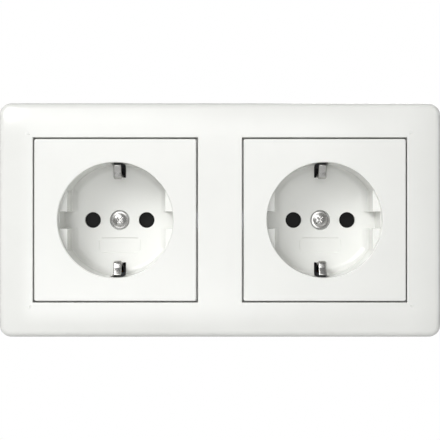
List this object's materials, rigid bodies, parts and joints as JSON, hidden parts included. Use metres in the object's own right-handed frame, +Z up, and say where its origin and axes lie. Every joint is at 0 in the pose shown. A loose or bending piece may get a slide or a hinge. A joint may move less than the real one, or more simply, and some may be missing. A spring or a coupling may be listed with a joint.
{
  "type": "double wall socket",
  "caption": "Double flush wall socket with a shared cover frame, deep round cups, earth tongues, turning shutters, spring terminals and spreading claws.",
  "frame": {"origin": "on the wall face, midway between the two inserts", "axes": "+X to the right as seen by the user, +Z up, and +Y into the wall, so the front faces -Y"},
  "size_m": [0.152, 0.0435, 0.081],
  "materials": {
    "white_plastic": "glossy moulded thermoplastic",
    "base_plastic": "matt moulded contact carrier",
    "cap_plastic": "matt moulded rear plate",
    "button_plastic": "matt moulded push button",
    "shutter_plastic": "dark low friction plastic",
    "zinc_steel": "zinc plated steel",
    "nickel": "nickel plated",
    "brass": "bent sheet brass",
    "spring_steel": "stainless spring steel"
  },
  "bodies": {
    "housing": {"cover_frame": "white_plastic", "left_cover": "white_plastic", "left_cover_screw": "nickel", "left_support_ring": "zinc_steel", "left_ring_rivets": "zinc_steel", "left_base": "base_plastic", "left_rear_cap": "cap_plastic", "left_earth_strap": "nickel", "left_line_contact": "brass", "left_neutral_contact": "brass", "left_line_clamp_springs": "spring_steel", "left_neutral_clamp_springs": "spring_steel", "left_earth_clamp_springs": "spring_steel", "right_cover": "white_plastic", "right_cover_screw": "nickel", "right_support_ring": "zinc_steel", "right_ring_rivets": "zinc_steel", "right_base": "base_plastic", "right_rear_cap": "cap_plastic", "right_earth_strap": "nickel", "right_line_contact": "brass", "right_neutral_contact": "brass", "right_line_clamp_springs": "spring_steel", "right_neutral_clamp_springs": "spring_steel", "right_earth_clamp_springs": "spring_steel"},
    "left_shutter": {"left_shutter": "shutter_plastic", "left_shutter_spring": "spring_steel"},
    "left_release_line": {"left_release_line": "button_plastic"},
    "left_release_neutral": {"left_release_neutral": "button_plastic"},
    "left_release_earth": {"left_release_earth": "button_plastic"},
    "left_claw_screw_a": {"left_claw_screw_a": "zinc_steel"},
    "left_claw_nut_a": {"left_claw_nut_a": "zinc_steel"},
    "left_claw_a": {"left_claw_a": "zinc_steel"},
    "left_claw_screw_b": {"left_claw_screw_b": "zinc_steel"},
    "left_claw_nut_b": {"left_claw_nut_b": "zinc_steel"},
    "left_claw_b": {"left_claw_b": "zinc_steel"},
    "right_shutter": {"right_shutter": "shutter_plastic", "right_shutter_spring": "spring_steel"},
    "right_release_line": {"right_release_line": "button_plastic"},
    "right_release_neutral": {"right_release_neutral": "button_plastic"},
    "right_release_earth": {"right_release_earth": "button_plastic"},
    "right_claw_screw_a": {"right_claw_screw_a": "zinc_steel"},
    "right_claw_nut_a": {"right_claw_nut_a": "zinc_steel"},
    "right_claw_a": {"right_claw_a": "zinc_steel"},
    "right_claw_screw_b": {"right_claw_screw_b": "zinc_steel"},
    "right_claw_nut_b": {"right_claw_nut_b": "zinc_steel"},
    "right_claw_b": {"right_claw_b": "zinc_steel"}
  },
  "joints": [
    {"name": "left_shutter_turn", "type": "hinge", "parent": "housing", "child": "left_shutter", "pos_m": [-0.0355, 0.01, 0], "axis": [0, -1, 0], "range_deg": [0, 40], "stiffness_Nm_per_rad": 0.004},
    {"name": "left_release_line_push", "type": "slide", "parent": "housing", "child": "left_release_line", "axis": [0, -1, 0], "range_m": [0, 0.0012], "stiffness_N_per_m": 400},
    {"name": "left_release_neutral_push", "type": "slide", "parent": "housing", "child": "left_release_neutral", "axis": [0, -1, 0], "range_m": [0, 0.0012], "stiffness_N_per_m": 400},
    {"name": "left_release_earth_push", "type": "slide", "parent": "housing", "child": "left_release_earth", "axis": [0, -1, 0], "range_m": [0, 0.0012], "stiffness_N_per_m": 400},
    {"name": "left_claw_screw_a_turn", "type": "hinge", "parent": "housing", "child": "left_claw_screw_a", "pos_m": [-0.0596, 0, 0], "axis": [0, 1, 0], "range_deg": [0, 2486.9]},
    {"name": "left_claw_nut_a_travel", "type": "slide", "parent": "housing", "child": "left_claw_nut_a", "axis": [0, -1, 0], "range_m": [0, 0.00345]},
    {"name": "left_claw_a_swing", "type": "hinge", "parent": "housing", "child": "left_claw_a", "pos_m": [-0.057, 0.012, 0], "axis": [0, 0, 1], "range_deg": [0, 25]},
    {"name": "left_claw_screw_b_turn", "type": "hinge", "parent": "housing", "child": "left_claw_screw_b", "pos_m": [-0.0114, 0, 0], "axis": [0, 1, 0], "range_deg": [0, 2486.9]},
    {"name": "left_claw_nut_b_travel", "type": "slide", "parent": "housing", "child": "left_claw_nut_b", "axis": [0, -1, 0], "range_m": [0, 0.00345]},
    {"name": "left_claw_b_swing", "type": "hinge", "parent": "housing", "child": "left_claw_b", "pos_m": [-0.014, 0.012, 0], "axis": [0, 0, -1], "range_deg": [0, 25]},
    {"name": "right_shutter_turn", "type": "hinge", "parent": "housing", "child": "right_shutter", "pos_m": [0.0355, 0.01, 0], "axis": [0, -1, 0], "range_deg": [0, 40], "stiffness_Nm_per_rad": 0.004},
    {"name": "right_release_line_push", "type": "slide", "parent": "housing", "child": "right_release_line", "axis": [0, -1, 0], "range_m": [0, 0.0012], "stiffness_N_per_m": 400},
    {"name": "right_release_neutral_push", "type": "slide", "parent": "housing", "child": "right_release_neutral", "axis": [0, -1, 0], "range_m": [0, 0.0012], "stiffness_N_per_m": 400},
    {"name": "right_release_earth_push", "type": "slide", "parent": "housing", "child": "right_release_earth", "axis": [0, -1, 0], "range_m": [0, 0.0012], "stiffness_N_per_m": 400},
    {"name": "right_claw_screw_a_turn", "type": "hinge", "parent": "housing", "child": "right_claw_screw_a", "pos_m": [0.0114, 0, 0], "axis": [0, 1, 0], "range_deg": [0, 2486.9]},
    {"name": "right_claw_nut_a_travel", "type": "slide", "parent": "housing", "child": "right_claw_nut_a", "axis": [0, -1, 0], "range_m": [0, 0.00345]},
    {"name": "right_claw_a_swing", "type": "hinge", "parent": "housing", "child": "right_claw_a", "pos_m": [0.014, 0.012, 0], "axis": [0, 0, 1], "range_deg": [0, 25]},
    {"name": "right_claw_screw_b_turn", "type": "hinge", "parent": "housing", "child": "right_claw_screw_b", "pos_m": [0.0596, 0, 0], "axis": [0, 1, 0], "range_deg": [0, 2486.9]},
    {"name": "right_claw_nut_b_travel", "type": "slide", "parent": "housing", "child": "right_claw_nut_b", "axis": [0, -1, 0], "range_m": [0, 0.00345]},
    {"name": "right_claw_b_swing", "type": "hinge", "parent": "housing", "child": "right_claw_b", "pos_m": [0.057, 0.012, 0], "axis": [0, 0, -1], "range_deg": [0, 25]}
  ],
  "couplings": [
    {"joint": "left_claw_screw_a_turn", "follows": "left_claw_nut_a_travel", "rad_per_m": 12566},
    {"joint": "left_claw_a_swing", "follows": "left_claw_nut_a_travel", "rad_per_m": 126.33},
    {"joint": "left_claw_screw_b_turn", "follows": "left_claw_nut_b_travel", "rad_per_m": 12566},
    {"joint": "left_claw_b_swing", "follows": "left_claw_nut_b_travel", "rad_per_m": 126.33},
    {"joint": "right_claw_screw_a_turn", "follows": "right_claw_nut_a_travel", "rad_per_m": 12566},
    {"joint": "right_claw_a_swing", "follows": "right_claw_nut_a_travel", "rad_per_m": 126.33},
    {"joint": "right_claw_screw_b_turn", "follows": "right_claw_nut_b_travel", "rad_per_m": 12566},
    {"joint": "right_claw_b_swing", "follows": "right_claw_nut_b_travel", "rad_per_m": 126.33}
  ]
}
